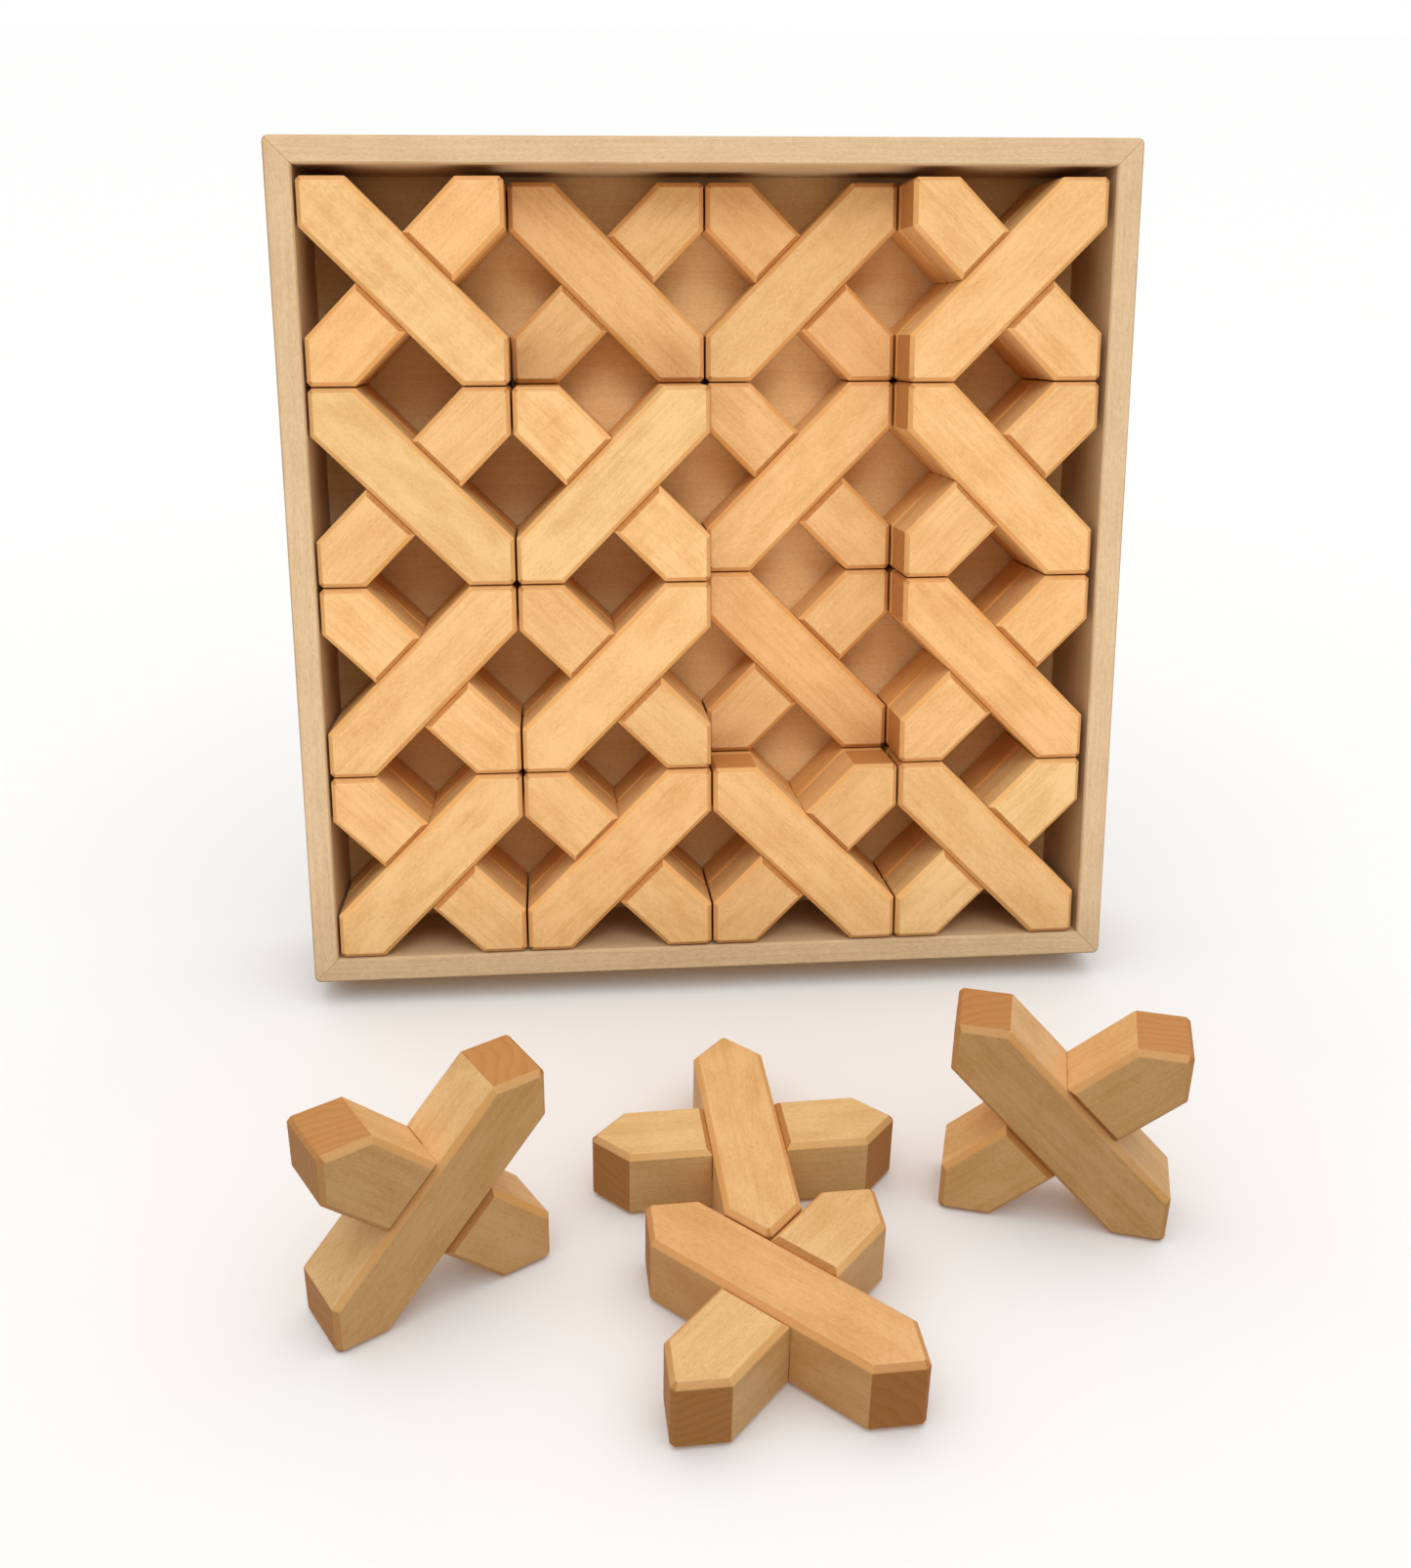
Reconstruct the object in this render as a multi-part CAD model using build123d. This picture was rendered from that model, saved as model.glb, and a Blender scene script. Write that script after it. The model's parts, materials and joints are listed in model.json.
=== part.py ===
from build123d import *
import os

# A square wooden tray of X-shaped building bricks, four of them taken out and set down in front of it.
#
# Every brick is two equal bars that cross in a glued half-lap. The tray has four mitred walls around a
# thin floor panel and holds a grid of bricks, two layers deep. It stands on the lower back edge of its
# bottom wall and leans back. All sizes are millimetres. X runs to the right, Y away from the viewer and
# Z up. The origin is on the table, under the middle of the whole set.

# Bricks: the X fits a square of this side, and the bars' sections are square.
BRICK_SIDE = 75.0
BAR_WIDTH = 25.0
BAR_THICKNESS = 25.0
EDGE_CHAMFER = 1.8
TIP_FLAT = 2.0
LAP_GAP = 0.1

# Tray: inner square, walls and floor panel. The upper bricks stand just proud of the rim.
TRAY_INSIDE = 306.0
WALL = 10.0
PANEL = 5.0
PANEL_REBATE = 5.0
RIM_HEIGHT = 49.5
CORNER_RADIUS = 2.5
RIM_EASE = 0.7
LEAN_BACK = 11.0

# Grid of bricks: they lie towards the left and bottom walls, with a little play between them.
GRID = 4
COLUMN_PLAY = 0.8
ROW_PLAY = 0.5
LEFT_PLAY = 1.0
BOTTOM_PLAY = 0.5
LAYER_PLAY = 0.2

# Direction of the bar on top in each cell, row 1 at the top: "/" rises to the right, "\" falls.
TOP_BARS = ("\\\\//", "\\//\\", "//\\\\", "//\\\\")

# Cells with only a lower brick, as (row, column).
LOW_CELLS = ((1, 2), (1, 3), (2, 3), (3, 3))

# Loose bricks on the table, relative to the middle of the tray's lower back edge.
FRONT_PLACE = (0.5, -244.0)
FRONT_TURN = -43.0
NEST_GAP = 1.0
LEFT_PLACE = (-107.0, -211.5)
LEFT_TURN = 30.0
RIGHT_PLACE = (102.5, -189.5)
RIGHT_TURN = -17.5

# Sizes that follow.
HALF_DIAGONAL = BRICK_SIDE / 2**0.5
HALF_SHOULDER = HALF_DIAGONAL - BAR_WIDTH / 2
V_CORNER = BAR_WIDTH / 2**0.5
TRAY_OUTSIDE = TRAY_INSIDE + 2 * WALL
TRAY_DEPTH = PANEL + RIM_HEIGHT


def bar():
    """One bar along X with pointed ends, and the half-lap notch in its underside."""
    half_width = BAR_WIDTH / 2
    half_tip = TIP_FLAT / 2
    corners = [
        (HALF_DIAGONAL - half_tip, half_tip),
        (HALF_SHOULDER, half_width),
        (-HALF_SHOULDER, half_width),
        (half_tip - HALF_DIAGONAL, half_tip),
        (half_tip - HALF_DIAGONAL, -half_tip),
        (-HALF_SHOULDER, -half_width),
        (HALF_SHOULDER, -half_width),
        (HALF_DIAGONAL - half_tip, -half_tip),
    ]
    outline = Plane.XY.offset(-BAR_THICKNESS / 2) * Polygon(*corners, align=None)
    blank = extrude(outline, BAR_THICKNESS)
    notch = Box(BAR_WIDTH + 2 * LAP_GAP, BAR_WIDTH * 2, BAR_THICKNESS / 2)
    notched = blank - Pos(0, 0, -BAR_THICKNESS / 4) * notch
    return chamfer(outer_edges(notched), EDGE_CHAMFER)


def outer_edges(notched):
    """The edges around the bar's top face and around the two faces left beside the notch below."""
    levels = notched.edges().group_by(Axis.Z)
    return levels[0] + levels[-1]


def brick(direction):
    """The two bars of a brick that lies flat, centred on the origin, as (over bar, under bar)."""
    turn = 45 if direction == "/" else -45
    over = Rot(0, 0, turn) * bar()
    under = Rot(0, 0, turn + 90) * Rot(180, 0, 0) * bar()
    return over, under


def tray_ring():
    """The four walls in one piece, lying on their back, with the rebate for the floor panel."""
    outside = RectangleRounded(TRAY_OUTSIDE, TRAY_OUTSIDE, CORNER_RADIUS)
    frame = extrude(outside - Rectangle(TRAY_INSIDE, TRAY_INSIDE), TRAY_DEPTH)
    eased = chamfer(frame.edges().group_by(Axis.Z)[-1], RIM_EASE)
    return eased - floor_panel()


def floor_panel():
    """The thin panel, let into the back of the walls."""
    side = TRAY_INSIDE + 2 * PANEL_REBATE
    return extrude(Rectangle(side, side), PANEL)


def tray_walls():
    """The ring cut along its diagonals into four mitred walls, by name."""
    ring = tray_ring()
    reach = TRAY_OUTSIDE
    quarter = extrude(Polygon((0, 0), (reach, -reach), (reach, reach), align=None), TRAY_DEPTH)
    turns = {"right": 0, "top": 90, "left": 180, "bottom": 270}
    return {f"tray_wall_{side}": ring & Rot(0, 0, turn) * quarter for side, turn in turns.items()}


def tray_place():
    """From a tray that lies on its back, centred on the origin, to one that stands and leans back."""
    return Rot(90 - LEAN_BACK, 0, 0) * Pos(0, TRAY_OUTSIDE / 2, 0)


def cell_place(row, column, layer):
    """Where a brick of the grid lies, from the middle of the tray's back. Layer 0 is the lower one."""
    half_inside = TRAY_INSIDE / 2
    x = -half_inside + LEFT_PLAY + (column - 1) * (BRICK_SIDE + COLUMN_PLAY) + BRICK_SIDE / 2
    y = -half_inside + BOTTOM_PLAY + (GRID - row) * (BRICK_SIDE + ROW_PLAY) + BRICK_SIDE / 2
    z = PANEL + LAYER_PLAY + layer * (BAR_THICKNESS + LAYER_PLAY) + BAR_THICKNESS / 2
    return Pos(x, y, z)


def tray_bricks():
    """Every brick in the tray. A covered lower brick is one node, and the others are one node for each bar."""
    nodes = {}
    for row in range(1, GRID + 1):
        for column in range(1, GRID + 1):
            direction = TOP_BARS[row - 1][column - 1]
            crossing = "\\" if direction == "/" else "/"
            cell = f"r{row}c{column}"
            lower = tray_place() * cell_place(row, column, 0)
            upper = tray_place() * cell_place(row, column, 1)
            if (row, column) in LOW_CELLS:
                nodes.update(bar_nodes(f"lower_{cell}", direction, lower))
            else:
                nodes[f"lower_{cell}"] = Compound([lower * piece for piece in brick(crossing)])
                nodes.update(bar_nodes(f"upper_{cell}", direction, upper))
    return nodes


def bar_nodes(name, direction, place):
    """A placed brick as two nodes, one for each bar."""
    over, under = brick(direction)
    return {f"{name}_over_bar": place * over, f"{name}_under_bar": place * under}


def nested_place():
    """The rear lying brick, whose tip points into the V between two arms of the front one."""
    front = Pos(*FRONT_PLACE, BAR_THICKNESS / 2) * Rot(0, 0, FRONT_TURN + 135)
    return front * Pos(V_CORNER + NEST_GAP + HALF_DIAGONAL, 0, 0) * Rot(0, 0, 180)


def standing_place(place, turn):
    """A brick that stands on one side of its square, with its over bar towards the viewer."""
    return Pos(*place, BRICK_SIDE / 2) * Rot(0, 0, turn) * Rot(90, 0, 0)


def loose_bricks():
    """The four bricks in front of the tray: two lie flat, nested, and two stand on edge."""
    flat_turn = Rot(0, 0, -45)
    front = Pos(*FRONT_PLACE, BAR_THICKNESS / 2) * Rot(0, 0, FRONT_TURN)
    nodes = bar_nodes("loose_front", "/", front * flat_turn)
    nodes.update(bar_nodes("loose_middle", "/", nested_place() * flat_turn))
    nodes.update(bar_nodes("loose_left", "/", standing_place(LEFT_PLACE, LEFT_TURN)))
    nodes.update(bar_nodes("loose_right", "\\", standing_place(RIGHT_PLACE, RIGHT_TURN)))
    return nodes


def whole_set():
    """Every node, moved so that the origin is under the middle of the set's bounding box."""
    nodes = {name: tray_place() * wall for name, wall in tray_walls().items()}
    nodes["tray_floor_panel"] = tray_place() * floor_panel()
    nodes.update(tray_bricks())
    nodes.update(loose_bricks())
    box = Compound(list(nodes.values())).bounding_box()
    middle = box.center()
    shift = Pos(-middle.X, -middle.Y, -box.min.Z)
    print(f"shift {-middle.X:.4f} {-middle.Y:.4f} {-box.min.Z:.4f}, size {box.size}")
    return {name: shift * shape for name, shape in nodes.items()}


os.makedirs("parts", exist_ok=True)
for node, shape in whole_set().items():
    export_step(shape, f"parts/{node}.step")
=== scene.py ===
import json
import math
import random

import bmesh
import bpy
import numpy as np
from mathutils import Matrix, Vector

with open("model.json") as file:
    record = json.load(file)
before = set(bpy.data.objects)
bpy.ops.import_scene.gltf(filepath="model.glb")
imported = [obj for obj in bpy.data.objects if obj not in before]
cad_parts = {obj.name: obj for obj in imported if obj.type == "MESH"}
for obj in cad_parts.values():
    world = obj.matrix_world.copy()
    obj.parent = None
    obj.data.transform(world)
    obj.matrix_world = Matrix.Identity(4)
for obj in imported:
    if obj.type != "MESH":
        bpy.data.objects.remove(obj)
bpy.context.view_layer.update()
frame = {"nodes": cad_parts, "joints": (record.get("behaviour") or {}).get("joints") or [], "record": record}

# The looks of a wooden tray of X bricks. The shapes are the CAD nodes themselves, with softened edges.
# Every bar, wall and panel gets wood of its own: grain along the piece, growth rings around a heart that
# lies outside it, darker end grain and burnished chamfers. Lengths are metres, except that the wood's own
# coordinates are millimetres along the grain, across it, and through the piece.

# Camera: its place, the way it looks, its roll, its lens, how far the picture's middle is from the lens
# axis, and how near and how far it sees.
CAMERA_PLACE = Vector((-0.0619, -0.4961, 0.3770))
CAMERA_AHEAD = Vector((0.0810, 0.9071, -0.4130))
CAMERA_ROLL = math.radians(0.65)
LENS = 36.46
SHIFT = (0.0115, -0.0433)
CLIP = (0.01, 100)

# Light: a room that is brightest overhead, and soft lamps that light only the tray and the bricks in it.
# One is high above the camera, a warm one behind the camera reaches into the holes, and one lies on the
# floor and gives the light that a floor throws back. Each has a place, a direction, a side, a power in
# watts and a colour.
ZENITH = 1.60
HORIZON = 0.10
GROUND = 0.28
GROUND_TINT = (1.0, 0.69, 0.38, 1)
LAMPS = (
    ("high lamp", Vector((0.0, -0.90, 1.35)), Vector((0.0, 0.99, -1.15)), 0.6, 7.0, (1.0, 1.0, 1.0)),
    ("front lamp", Vector((0.0, -1.50, 0.55)), Vector((0.0, 1.60, -0.38)), 0.8, 1.2, (1.0, 0.62, 0.28)),
    ("floor light", Vector((0.0, -0.42, 0.002)), Vector((0.0, 0.0, 1.0)), 0.8, 4.2, (1.0, 1.0, 1.0)),
)
FLOOR_SIDE = 40.0
FLOOR_COLOR = (0.92, 0.92, 0.915, 1)
FLOOR_ROUGHNESS = 0.9

# Softened edges: their radii and segments, the angle from which an edge is one, the angle up to which faces
# count as one flat face, and how close corners are that belong together.
BAR_EDGE = 0.0003
TRAY_EDGE = 0.0004
PANEL_EDGE = 0.0002
EDGE_SEGMENTS = 3
EDGE_ANGLE = math.radians(20)
FLAT_ANGLE = math.radians(1)
MERGE = 1e-6

# Wood colours, linear: the pale wood, the ring lines, the end grain and the chamfers. The painted-shade
# colours are for a lower brick with an upper one on it, which lies in shade: a more orange, more saturated
# copy of the bar colours that paints in the warm shade there.
BAR_COLORS = ((0.805, 0.494, 0.216), (0.650, 0.346, 0.116), (0.430, 0.150, 0.024), (0.760, 0.385, 0.120))
PAINTED_SHADE_COLORS = ((0.830, 0.460, 0.160), (0.700, 0.335, 0.095), (0.450, 0.165, 0.030), (0.750, 0.345, 0.090))
TRAY_COLORS = ((0.670, 0.490, 0.300), (0.500, 0.340, 0.180), (0.330, 0.200, 0.095), (0.520, 0.350, 0.180))
PANEL_COLORS = ((0.900, 0.640, 0.330), (0.760, 0.450, 0.160), (0.420, 0.200, 0.070), (0.760, 0.450, 0.160))

# The patterns in the wood: the periods of their noise, in millimetres, and its mean.
SWAY_PERIODS = (70, 26, 26)
STRAY_PERIODS = (400, 9, 9)
STREAK_PERIODS = (55, 1.4, 1.4)
FIBRE_PERIODS = (1.9, 0.75, 0.75)
CLOUD_PERIODS = (20, 9, 9)
CURL_PERIODS = (4.2, 16, 16)
FLECK_PERIODS = (2.0, 0.7, 0.7)
PORE_PERIODS = (0.9, 0.55, 0.55)
NOISE_MEAN = 0.5

# Growth rings: their width in millimetres and the factors between which it varies, how many millimetres
# they sway and stray, how sharply a ring darkens to its line, and where in the ring the line starts to fade.
BAR_RINGS = 3.4
WALL_RINGS = 2.6
PANEL_RINGS = 11
RING_SPREAD = (0.8, 1.25)
RING_SWAY = 9.0
RING_STRAY = 5.0
RING_POWER = 2.6
LINE_FADES = 0.9

# Where each piece's heart of the tree lies, in millimetres: how far beside the piece, and how far along it.
# The piece's noise is taken from that many times as far away.
HEART_DEPTH = (45, 120)
HEART_ALONG = (-400, 400)
NOISE_START = (7.3, 7.3, 7.3)

# Long grain: how much of the ring colour there is, how much lines, flecks and fibres add to it, and between
# which levels of noise a fleck appears.
LONG_SHADE = 0.25
LINE_SHADE = 0.22
FLECK_SHADE = 0.26
FIBRE_SHADE = 1.4
FLECK_LEVELS = (0.58, 0.72)

# End grain: between which slopes of the surface it appears, where 1 is square to the grain, how much of it
# shows, how much lines and pores lift its colour, and how much of the ring colour its darker parts have.
END_LEVELS = (0.22, 0.62)
END_SHARE = 0.92
END_LINES = 0.5
END_PORES = 0.8
END_DARK = 0.5

# Chamfers and worn edges, by their slant. This is the product of the normal's parts across the piece and
# through it, which is 0.5 on a chamfer and 0 on a face, so that wear lies between two slants. Then how much
# burnish and wear there is.
CHAMFER_LEVELS = (0.26, 0.42)
WORN_FROM = (0.04, 0.2)
WORN_UP_TO = (0.44, 0.3)
BURNISH = 1.5
WEAR = 0.3

# Gloss and relief: the roughness of long grain, what end grain and streaks add, the depth of the relief in
# metres, and how much fibres, streaks and lines make of it.
ROUGHNESS = 0.5
END_ROUGHNESS = 0.14
STREAK_ROUGHNESS = 0.16
SPECULAR = 0.38
RELIEF = 0.00012
FIBRE_RELIEF = 0.7
STREAK_RELIEF = 0.5
LINE_RELIEF = 0.25

# How strong streaks, clouds and ripples are in the tray, and between which values they and a bar's warmth
# and brightness vary in the bricks.
TRAY_STREAKS = 0.8
TRAY_CLOUDS = 0.6
WALL_RIPPLE = 0.0
PANEL_RIPPLE = 0.1
BAR_STREAKS = (0.3, 1.2)
BAR_CLOUDS = (1.2, 2.0)
BAR_RIPPLE = (0.0, 0.35)
BAR_WARMTH = (-0.05, 0.05)
BAR_VALUE = (0.94, 1.02)
# Painted light: the loose bricks, which the lamps don't reach, have their colour made this much brighter.
LOOSE_PAINTED_LIGHT = 1.02

# How much of its green and its blue a colour loses for each unit of warmth.
WARM_GREEN = 0.5
WARM_BLUE = 0.8

# Bars that are rosier, paler or more rippled than the rest, and how much.
ROSY = ("lower_r3c3_over_bar", "upper_r3c4_over_bar", "lower_r1c3_under_bar", "loose_front_over_bar")
PALE = (
    "upper_r1c1_over_bar",
    "upper_r2c1_over_bar",
    "upper_r2c2_over_bar",
    "upper_r4c4_under_bar",
    "loose_middle_under_bar",
)
RIPPLED = ("upper_r1c1_over_bar", "upper_r2c2_under_bar")
ROSINESS = 0.10
PALENESS = 0.12
STRONG_RIPPLE = 1.0

# Half the side of the square in which a brick's bars cross, with the play there, in millimetres.
LAP_HALF = 12.6

# Millimetres in a metre.
MM = 1000

WHITE = (1, 1, 1, 1)
SEED = 11

draw = random.Random(SEED)


class Nodes:
    """Adds nodes to a tree. An input given as a socket is linked, and any other value is set."""

    def __init__(self, tree):
        self.tree = tree

    def add(self, kind, inputs=(), **settings):
        node = self.tree.nodes.new(kind)
        for name, value in settings.items():
            setattr(node, name, value)
        for key, value in dict(inputs).items():
            if isinstance(value, bpy.types.NodeSocket):
                self.tree.links.new(value, node.inputs[key])
            else:
                node.inputs[key].default_value = value
        return node

    def math(self, operation, *values, clamp=False):
        return self.add("ShaderNodeMath", enumerate(values), operation=operation, use_clamp=clamp).outputs[0]

    def times(self, value, factor):
        return self.math("MULTIPLY", value, factor)

    def total(self, *values):
        result = values[0]
        for value in values[1:]:
            result = self.math("ADD", result, value)
        return result

    def vector(self, operation, *values, out=0):
        return self.add("ShaderNodeVectorMath", enumerate(values), operation=operation).outputs[out]

    def split(self, vector):
        return self.add("ShaderNodeSeparateXYZ", {0: vector}).outputs

    def step(self, value, start, end):
        """0 at start and before it, 1 at end and after it, and smooth between them. Either may be larger."""
        inputs = {0: value, 1: start, 2: end}
        return self.add("ShaderNodeMapRange", inputs, interpolation_type="SMOOTHSTEP").outputs[0]

    def noise(self, place, periods, detail=2.0, roughness=0.5):
        """Noise with about these periods, in millimetres, along the wood's three directions."""
        scaled = self.vector("DIVIDE", place, periods)
        inputs = {"Vector": scaled, "Scale": 1.0, "Detail": detail, "Roughness": roughness}
        return self.add("ShaderNodeTexNoise", inputs).outputs[0]

    def mix(self, share, first, second):
        """A colour between two. The mix node's sockets 6 and 7 are for colours, and 4 and 5 for vectors."""
        return self.add("ShaderNodeMix", {0: share, 6: first, 7: second}, data_type="RGBA").outputs[2]

    def mix_vectors(self, share, first, second):
        return self.add("ShaderNodeMix", {0: share, 4: first, 5: second}, data_type="VECTOR").outputs[1]


def timber_sockets(group):
    """What the timber group takes in and gives out."""
    sockets = (
        ("INPUT", "Vector", ("Place", "Normal", "Heart")),
        ("INPUT", "Float", ("Ring width", "Streaks", "Clouds", "Ripple")),
        ("INPUT", "Color", ("Pale", "Ring", "End", "Chamfer")),
        ("OUTPUT", "Color", ("Color",)),
        ("OUTPUT", "Float", ("Roughness", "Height")),
    )
    for in_out, kind, names in sockets:
        for name in names:
            group.interface.new_socket(name=name, in_out=in_out, socket_type="NodeSocket" + kind)


def growth_rings(nodes, place, own, given):
    """Lines around the heart: a slow rise through the pale wood, and a quick fall after each line."""
    across = nodes.vector("MULTIPLY", nodes.vector("SUBTRACT", place, given["Heart"]), (0, 1, 1))
    radius = nodes.vector("LENGTH", across, out=1)
    sway = nodes.times(nodes.noise(own, SWAY_PERIODS), RING_SWAY)
    stray = nodes.times(nodes.noise(own, STRAY_PERIODS, detail=1), RING_STRAY)
    phase = nodes.math("FRACT", nodes.math("DIVIDE", nodes.total(radius, sway, stray), given["Ring width"]))
    return nodes.times(nodes.math("POWER", phase, RING_POWER), nodes.step(phase, 1.0, LINE_FADES))


def long_grain(nodes, own, line, streak, fibre, cloud, given):
    """Wood seen along the grain, with lines, flecks, streaks, fibres, clouds and the ripple of curly wood."""
    curl = nodes.noise(own, CURL_PERIODS, detail=1)
    fleck = nodes.step(nodes.noise(own, FLECK_PERIODS, detail=1), *FLECK_LEVELS)
    shade = nodes.total(nodes.times(line, LINE_SHADE), nodes.times(fleck, FLECK_SHADE), LONG_SHADE)
    varied = (
        (streak, given["Streaks"]),
        (fibre, FIBRE_SHADE),
        (cloud, given["Clouds"]),
        (curl, given["Ripple"]),
    )
    for pattern, weight in varied:
        shade = nodes.math("MULTIPLY_ADD", nodes.math("SUBTRACT", pattern, NOISE_MEAN), weight, shade)
    return nodes.mix(shade, given["Pale"], given["Ring"])


def end_grain(nodes, own, line, given):
    """Wood seen where the surface faces along the piece, with lines and pores."""
    pores = nodes.noise(own, PORE_PERIODS, detail=2, roughness=0.7)
    shade = nodes.math("ADD", nodes.times(line, END_LINES), nodes.times(pores, END_PORES), clamp=True)
    dark = nodes.mix(END_DARK, given["End"], given["Ring"])
    return nodes.mix(shade, dark, given["End"])


def worked_edges(nodes, wood, facing, cloud, given):
    """Burnishes the chamfers, unevenly, and wears the rounded edges beside them pale."""
    slant = nodes.math("MULTIPLY", facing[1], facing[2])
    burnish = nodes.times(nodes.step(slant, *CHAMFER_LEVELS), nodes.times(cloud, BURNISH))
    chamfered = nodes.mix(burnish, wood, given["Chamfer"])
    worn = nodes.times(nodes.step(slant, *WORN_FROM), nodes.step(slant, *WORN_UP_TO))
    return nodes.mix(nodes.times(worn, WEAR), chamfered, given["Pale"])


def timber_group():
    """The wood itself: from a place and a normal in the piece's own frame to colour, gloss and relief."""
    group = bpy.data.node_groups.new("timber", "ShaderNodeTree")
    timber_sockets(group)
    nodes = Nodes(group)
    given = group.nodes.new("NodeGroupInput").outputs
    place = given["Place"]
    own = nodes.vector("ADD", place, nodes.vector("MULTIPLY", given["Heart"], NOISE_START))
    line = growth_rings(nodes, place, own, given)
    streak = nodes.noise(own, STREAK_PERIODS, detail=3, roughness=0.6)
    fibre = nodes.noise(own, FIBRE_PERIODS, detail=2, roughness=0.7)
    cloud = nodes.noise(own, CLOUD_PERIODS)
    facing = nodes.split(nodes.vector("ABSOLUTE", given["Normal"]))
    end = nodes.step(facing[0], *END_LEVELS)
    along = long_grain(nodes, own, line, streak, fibre, cloud, given)
    wood = nodes.mix(nodes.times(end, END_SHARE), along, end_grain(nodes, own, line, given))
    gloss = nodes.times(nodes.math("SUBTRACT", streak, NOISE_MEAN), STREAK_ROUGHNESS)
    relief = nodes.total(nodes.times(fibre, FIBRE_RELIEF), nodes.times(streak, STREAK_RELIEF))
    results = {
        "Color": worked_edges(nodes, wood, facing, cloud, given),
        "Roughness": nodes.total(nodes.times(end, END_ROUGHNESS), gloss, ROUGHNESS),
        "Height": nodes.math("SUBTRACT", relief, nodes.times(line, LINE_RELIEF)),
    }
    nodes.add("NodeGroupOutput", results)
    return group


def turned(color, warmth, value):
    """A wood colour, made rosier by warmth and brighter by value."""
    red, green, blue = (part * value for part in color)
    return (red, green * (1 - WARM_GREEN * warmth), blue * (1 - WARM_BLUE * warmth), 1)


def on_over_bar(nodes, place):
    """1 on the over bar of a brick and 0 on its under bar, from a place in the over bar's directions."""
    along, across = nodes.split(nodes.vector("ABSOLUTE", place))[:2]
    arm = nodes.math("GREATER_THAN", along, across)
    top = nodes.math("GREATER_THAN", nodes.split(place)[2], 0.0)
    in_lap = nodes.math("LESS_THAN", nodes.math("MAXIMUM", along, across), LAP_HALF)
    outside = nodes.math("SUBTRACT", 1.0, in_lap)
    return nodes.total(nodes.times(in_lap, top), nodes.times(outside, arm))


def own_frame(nodes, frames):
    """The place and the normal in the directions of the bar that they are on, in millimetres."""
    from_piece = nodes.add("ShaderNodeTexCoord").outputs
    places, normals = [], []
    for rows, centre in frames:
        turn = rows.to_euler()
        mapping = {0: from_piece["Object"], 1: -MM * (rows @ centre), 2: turn, 3: (MM, MM, MM)}
        places.append(nodes.add("ShaderNodeMapping", mapping).outputs[0])
        facing = {0: from_piece["Normal"], "Rotation": turn}
        normals.append(nodes.add("ShaderNodeMapping", facing, vector_type="VECTOR").outputs[0])
    if len(frames) == 1:
        return places[0], normals[0]
    share = on_over_bar(nodes, places[0])
    return nodes.mix_vectors(share, places[1], places[0]), nodes.mix_vectors(share, normals[1], normals[0])


def wood_material(name, frames, colors, rings, streaks, clouds, ripple, warmth=0.0, value=1.0):
    """Wood for one piece, or for two crossed bars when there are two frames of directions."""
    material = bpy.data.materials.new(name)
    material.use_nodes = True
    nodes = Nodes(material.node_tree)
    place, normal = own_frame(nodes, frames)
    angle, depth = draw.uniform(0, 2 * math.pi), draw.uniform(*HEART_DEPTH)
    inputs = {
        "Place": place,
        "Normal": normal,
        "Heart": (draw.uniform(*HEART_ALONG), depth * math.cos(angle), depth * math.sin(angle)),
        "Ring width": rings * draw.uniform(*RING_SPREAD),
        "Streaks": streaks,
        "Clouds": clouds,
        "Ripple": ripple,
    }
    for key, color in zip(("Pale", "Ring", "End", "Chamfer"), colors):
        inputs[key] = turned(color, warmth, value)
    wood = nodes.add("ShaderNodeGroup", inputs, node_tree=TIMBER).outputs
    bump = nodes.add("ShaderNodeBump", {"Height": wood["Height"], "Distance": RELIEF})
    shader = material.node_tree.nodes["Principled BSDF"].inputs
    shader["Specular IOR Level"].default_value = SPECULAR
    links = {"Base Color": wood["Color"], "Roughness": wood["Roughness"], "Normal": bump.outputs["Normal"]}
    for key, socket in links.items():
        nodes.tree.links.new(socket, shader[key])
    return material


def solids_of(node):
    """The corner points of each separate solid of a CAD node."""
    made = bmesh.new()
    made.from_mesh(node.data)
    bmesh.ops.remove_doubles(made, verts=made.verts, dist=MERGE)
    seen, solids = set(), []
    for start in made.verts:
        if start in seen:
            continue
        seen.add(start)
        reached = [start]
        for corner in reached:
            near = [edge.other_vert(corner) for edge in corner.link_edges]
            fresh = [other for other in near if other not in seen]
            seen.update(fresh)
            reached.extend(fresh)
        solids.append(np.array([corner.co for corner in reached]))
    made.free()
    return solids


def long_axis(points):
    """The direction in which a piece is longest, with its largest part positive."""
    rows = np.linalg.svd(points - points.mean(0), full_matrices=False)[2]
    return Vector(rows[0] * np.sign(rows[0][np.abs(rows[0]).argmax()]))


def directions(points, through):
    """A piece's own frame: rows along it, across it and through it, and the middle of its box in them."""
    along = long_axis(points)
    rows = Matrix((along, through.cross(along), through))
    local = points @ np.array(rows).T
    return rows, rows.transposed() @ Vector((local.min(0) + local.max(0)) / 2)


def brick_frames(over, under):
    """The frames of a brick's two bars. Through the brick points from its under bar to its over bar."""
    through = long_axis(over).cross(long_axis(under)).normalized()
    if through.dot(Vector(over.mean(0) - under.mean(0))) < 0:
        through.negate()
    return directions(over, through), directions(under, through)


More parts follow.
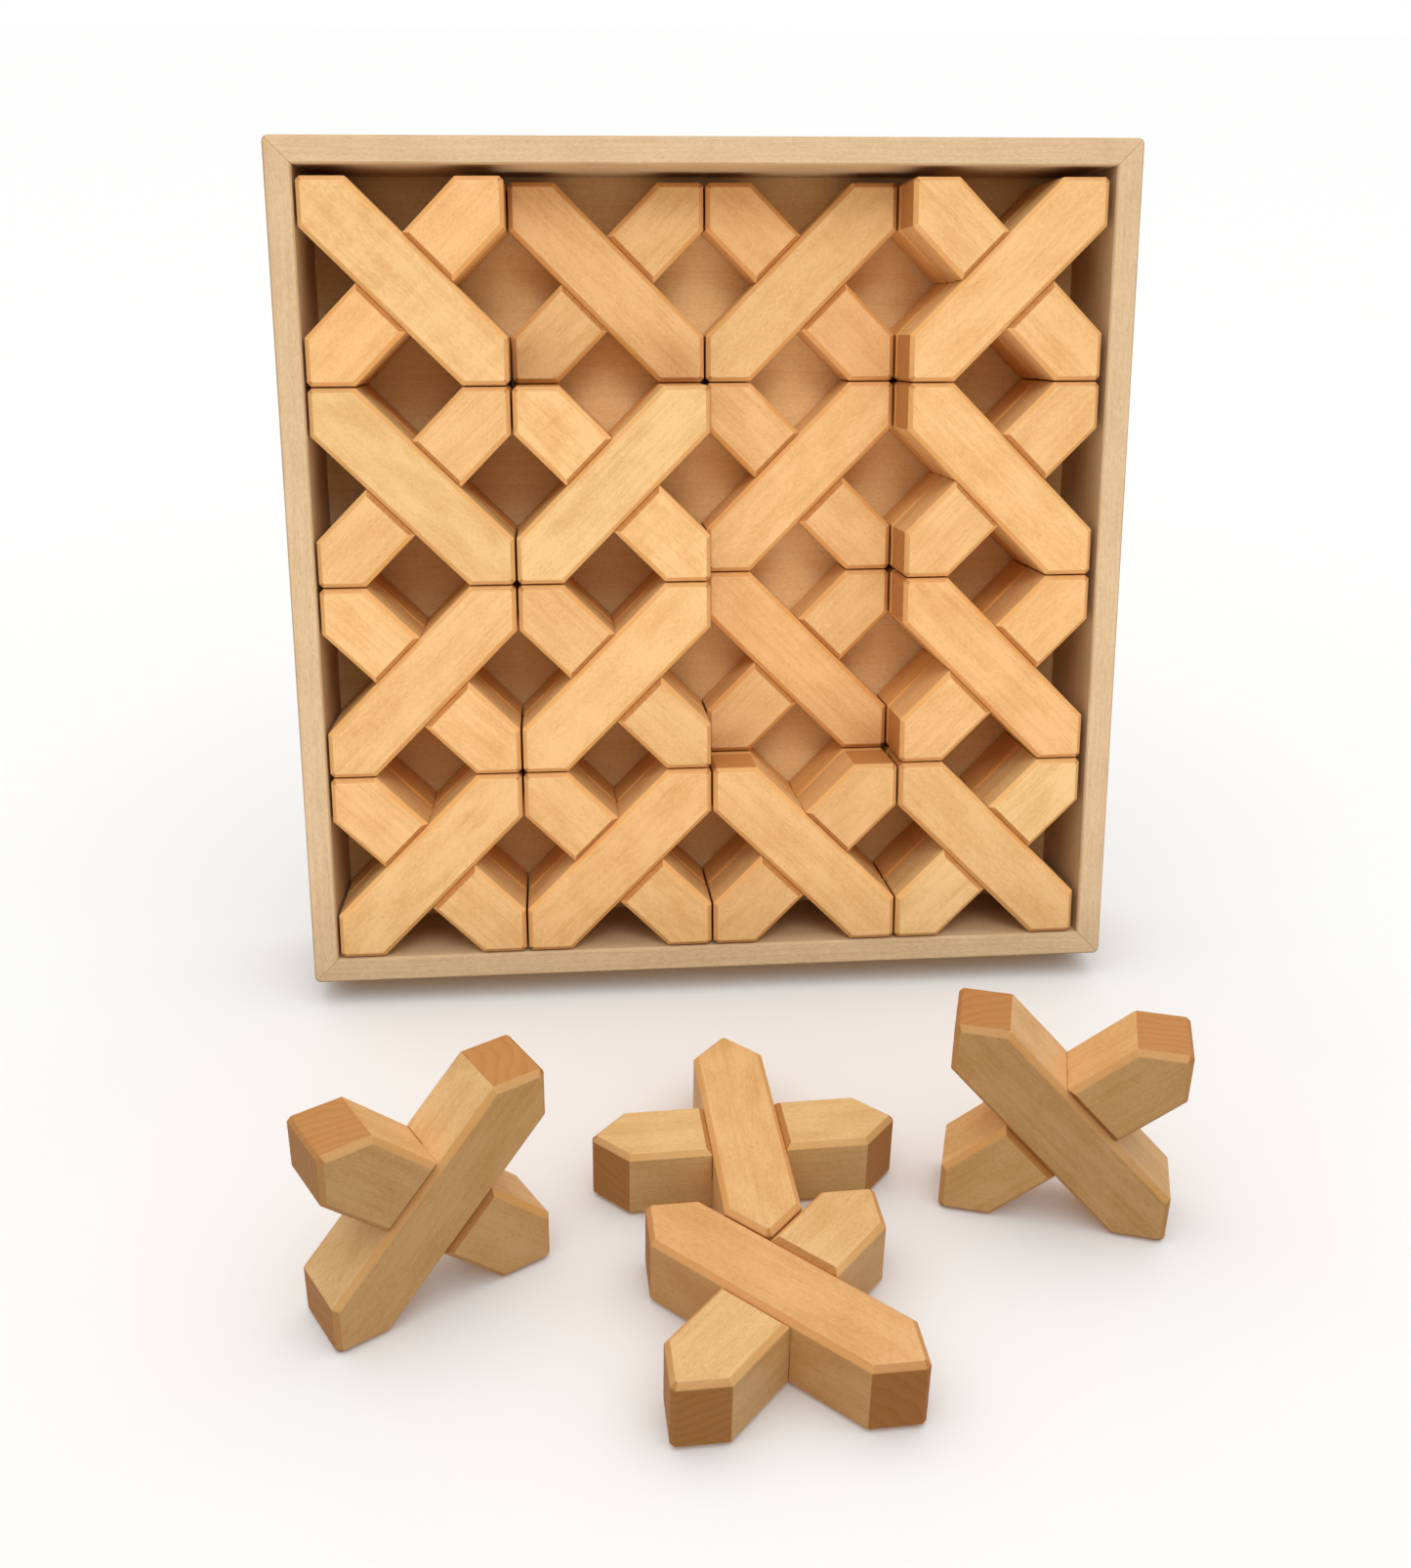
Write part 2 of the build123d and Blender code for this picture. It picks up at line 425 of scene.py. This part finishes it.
def smoothing_group():
    """Joins the faces of an imported mesh again and shades it smooth."""
    group = bpy.data.node_groups.new("smoothing", "GeometryNodeTree")
    for in_out in ("INPUT", "OUTPUT"):
        group.interface.new_socket(name="Geometry", in_out=in_out, socket_type="NodeSocketGeometry")
    nodes = Nodes(group)
    last = nodes.add("NodeGroupInput").outputs[0]
    steps = (
        ("GeometryNodeMergeByDistance", {"Distance": MERGE}, {}),
        ("GeometryNodeRemoveAttribute", {"Name": "custom_normal"}, {}),
        ("GeometryNodeSetShadeSmooth", {}, {"domain": "EDGE"}),
        ("GeometryNodeSetShadeSmooth", {}, {"domain": "FACE"}),
    )
    for kind, inputs, settings in steps:
        last = nodes.add(kind, {0: last, **inputs}, **settings).outputs[0]
    nodes.add("NodeGroupOutput", {0: last})
    return group


def soften(node, radius):
    """Rounds a CAD node's edges a little, with modifiers, and keeps its flat faces flat."""
    node.modifiers.new("joined", "NODES").node_group = SMOOTHING
    flat = node.modifiers.new("flat", "DECIMATE")
    flat.decimate_type = "DISSOLVE"
    flat.angle_limit = FLAT_ANGLE
    bevel = node.modifiers.new("softened", "BEVEL")
    bevel.width = radius
    bevel.segments = EDGE_SEGMENTS
    bevel.limit_method = "ANGLE"
    bevel.angle_limit = EDGE_ANGLE
    node.modifiers.new("shaded", "WEIGHTED_NORMAL").keep_sharp = False


def dress(node, frames, radius, colors, **wood):
    """Gives a node softened edges and wood of its own."""
    soften(node, radius)
    node.material_slots[0].material = wood_material(node.name, frames, colors, **wood)


def bar_wood(name):
    """How one bar's wood differs from the others."""
    return {
        "warmth": draw.uniform(*BAR_WARMTH) + ROSINESS * (name in ROSY) - PALENESS * (name in PALE),
        # Painted light: a loose brick's colour is made brighter, standing in for the lamp light it doesn't
        # get.
        "value": draw.uniform(*BAR_VALUE) * (LOOSE_PAINTED_LIGHT if "loose" in name else 1.0),
        "streaks": draw.uniform(*BAR_STREAKS),
        "clouds": draw.uniform(*BAR_CLOUDS),
        "ripple": STRONG_RIPPLE if name in RIPPLED else draw.uniform(*BAR_RIPPLE),
    }


def dress_bricks(bodies):
    """Every brick: two bars in two nodes, or both in one node where an upper brick covers it."""
    for names in bodies.values():
        covered = len(names) == 1
        solids = [points for name in names for points in solids_of(frame["nodes"][name])]
        if covered:
            solids.sort(key=lambda points: -points.mean(0) @ LIFT)
        frames = brick_frames(*solids)
        shares = [frames] if covered else [frames[:1], frames[1:]]
        # A covered brick takes the painted-shade colours, a warmer copy of the bar wood standing in for the
        # shade it lies in.
        colors = PAINTED_SHADE_COLORS if covered else BAR_COLORS
        for name, share in zip(names, shares):
            dress(frame["nodes"][name], share, BAR_EDGE, colors, rings=BAR_RINGS, **bar_wood(name))


def dress_tray(names):
    """The walls and the floor panel, with the grain along each wall and across the panel's width."""
    shared = {"streaks": TRAY_STREAKS, "clouds": TRAY_CLOUDS}
    panel_wood = {"rings": PANEL_RINGS, "ripple": PANEL_RIPPLE, **shared}
    wall_wood = {"rings": WALL_RINGS, "ripple": WALL_RIPPLE, **shared}
    through = Vector(LIFT)
    for name in names:
        node = frame["nodes"][name]
        if name == "tray_floor_panel":
            rows = Matrix(((1, 0, 0), through.cross(Vector((1, 0, 0))), through))
            dress(node, [(rows, Vector())], PANEL_EDGE, PANEL_COLORS, **panel_wood)
        else:
            frames = [directions(solids_of(node)[0], through)]
            dress(node, frames, TRAY_EDGE, TRAY_COLORS, **wall_wood)


def add_camera():
    """The photo's camera."""
    camera = bpy.data.objects.new("camera", bpy.data.cameras.new("camera"))
    bpy.context.scene.collection.objects.link(camera)
    camera.location = CAMERA_PLACE
    camera.rotation_mode = "QUATERNION"
    level = CAMERA_AHEAD.to_track_quat("-Z", "Y")
    camera.rotation_quaternion = level @ Matrix.Rotation(CAMERA_ROLL, 3, "Z").to_quaternion()
    camera.data.lens = LENS
    camera.data.shift_x, camera.data.shift_y = SHIFT
    camera.data.clip_start, camera.data.clip_end = CLIP
    bpy.context.scene.camera = camera


def add_lamps():
    """The soft lamps, which light only the tray and the bricks in it."""
    lit = bpy.data.collections.new("lit by the lamps")
    for name, node in frame["nodes"].items():
        if "loose" not in name:
            lit.objects.link(node)
    for name, place, direction, side, power, color in LAMPS:
        light = bpy.data.lights.new(name, "AREA")
        light.shape, light.size, light.energy, light.color = "SQUARE", side, power, color
        lamp = bpy.data.objects.new(name, light)
        bpy.context.scene.collection.objects.link(lamp)
        lamp.location = place
        lamp.rotation_euler = direction.to_track_quat("-Z", "Y").to_euler()
        lamp.visible_camera = False
        lamp.light_linking.receiver_collection = lit


def add_room():
    """Soft light from all around, stronger from above, in front of a white backdrop."""
    world = bpy.data.worlds.new("room")
    world.use_nodes = True
    nodes = Nodes(world.node_tree)
    up = nodes.split(nodes.add("ShaderNodeTexCoord").outputs["Generated"])[2]
    sky = nodes.math("MULTIPLY_ADD", nodes.math("MAXIMUM", up, 0.0), ZENITH - HORIZON, HORIZON)
    above = nodes.math("GREATER_THAN", up, 0.0)
    light = nodes.total(nodes.times(nodes.math("SUBTRACT", sky, GROUND), above), GROUND)
    seen = nodes.add("ShaderNodeLightPath").outputs["Is Camera Ray"]
    white = nodes.math("MAXIMUM", above, seen)
    background = world.node_tree.nodes["Background"].inputs
    nodes.tree.links.new(nodes.math("MAXIMUM", light, seen), background["Strength"])
    nodes.tree.links.new(nodes.mix(white, GROUND_TINT, WHITE), background["Color"])
    bpy.context.scene.world = world
    bpy.context.scene.view_settings.view_transform = "Standard"


def add_floor():
    """A plain pale floor. It catches shadows, and throws no light back at the pieces itself."""
    bpy.ops.mesh.primitive_plane_add(size=FLOOR_SIDE)
    floor = bpy.context.object
    floor.name = "floor"
    paper = bpy.data.materials.new("floor")
    paper.use_nodes = True
    shader = paper.node_tree.nodes["Principled BSDF"].inputs
    shader["Base Color"].default_value = FLOOR_COLOR
    shader["Roughness"].default_value = FLOOR_ROUGHNESS
    floor.data.materials.append(paper)
    floor.visible_diffuse = False


# The way in which every brick leaves the tray. Only the loose bricks' slides go another way, straight up.
LIFT = np.array(next(joint["axis"] for joint in frame["joints"] if "loose" not in joint["name"]))
TIMBER = timber_group()
SMOOTHING = smoothing_group()
bodies = dict(frame["record"]["behaviour"]["bodies"])
dress_tray(bodies.pop("tray"))
dress_bricks(bodies)
add_floor()
add_camera()
add_lamps()
add_room()
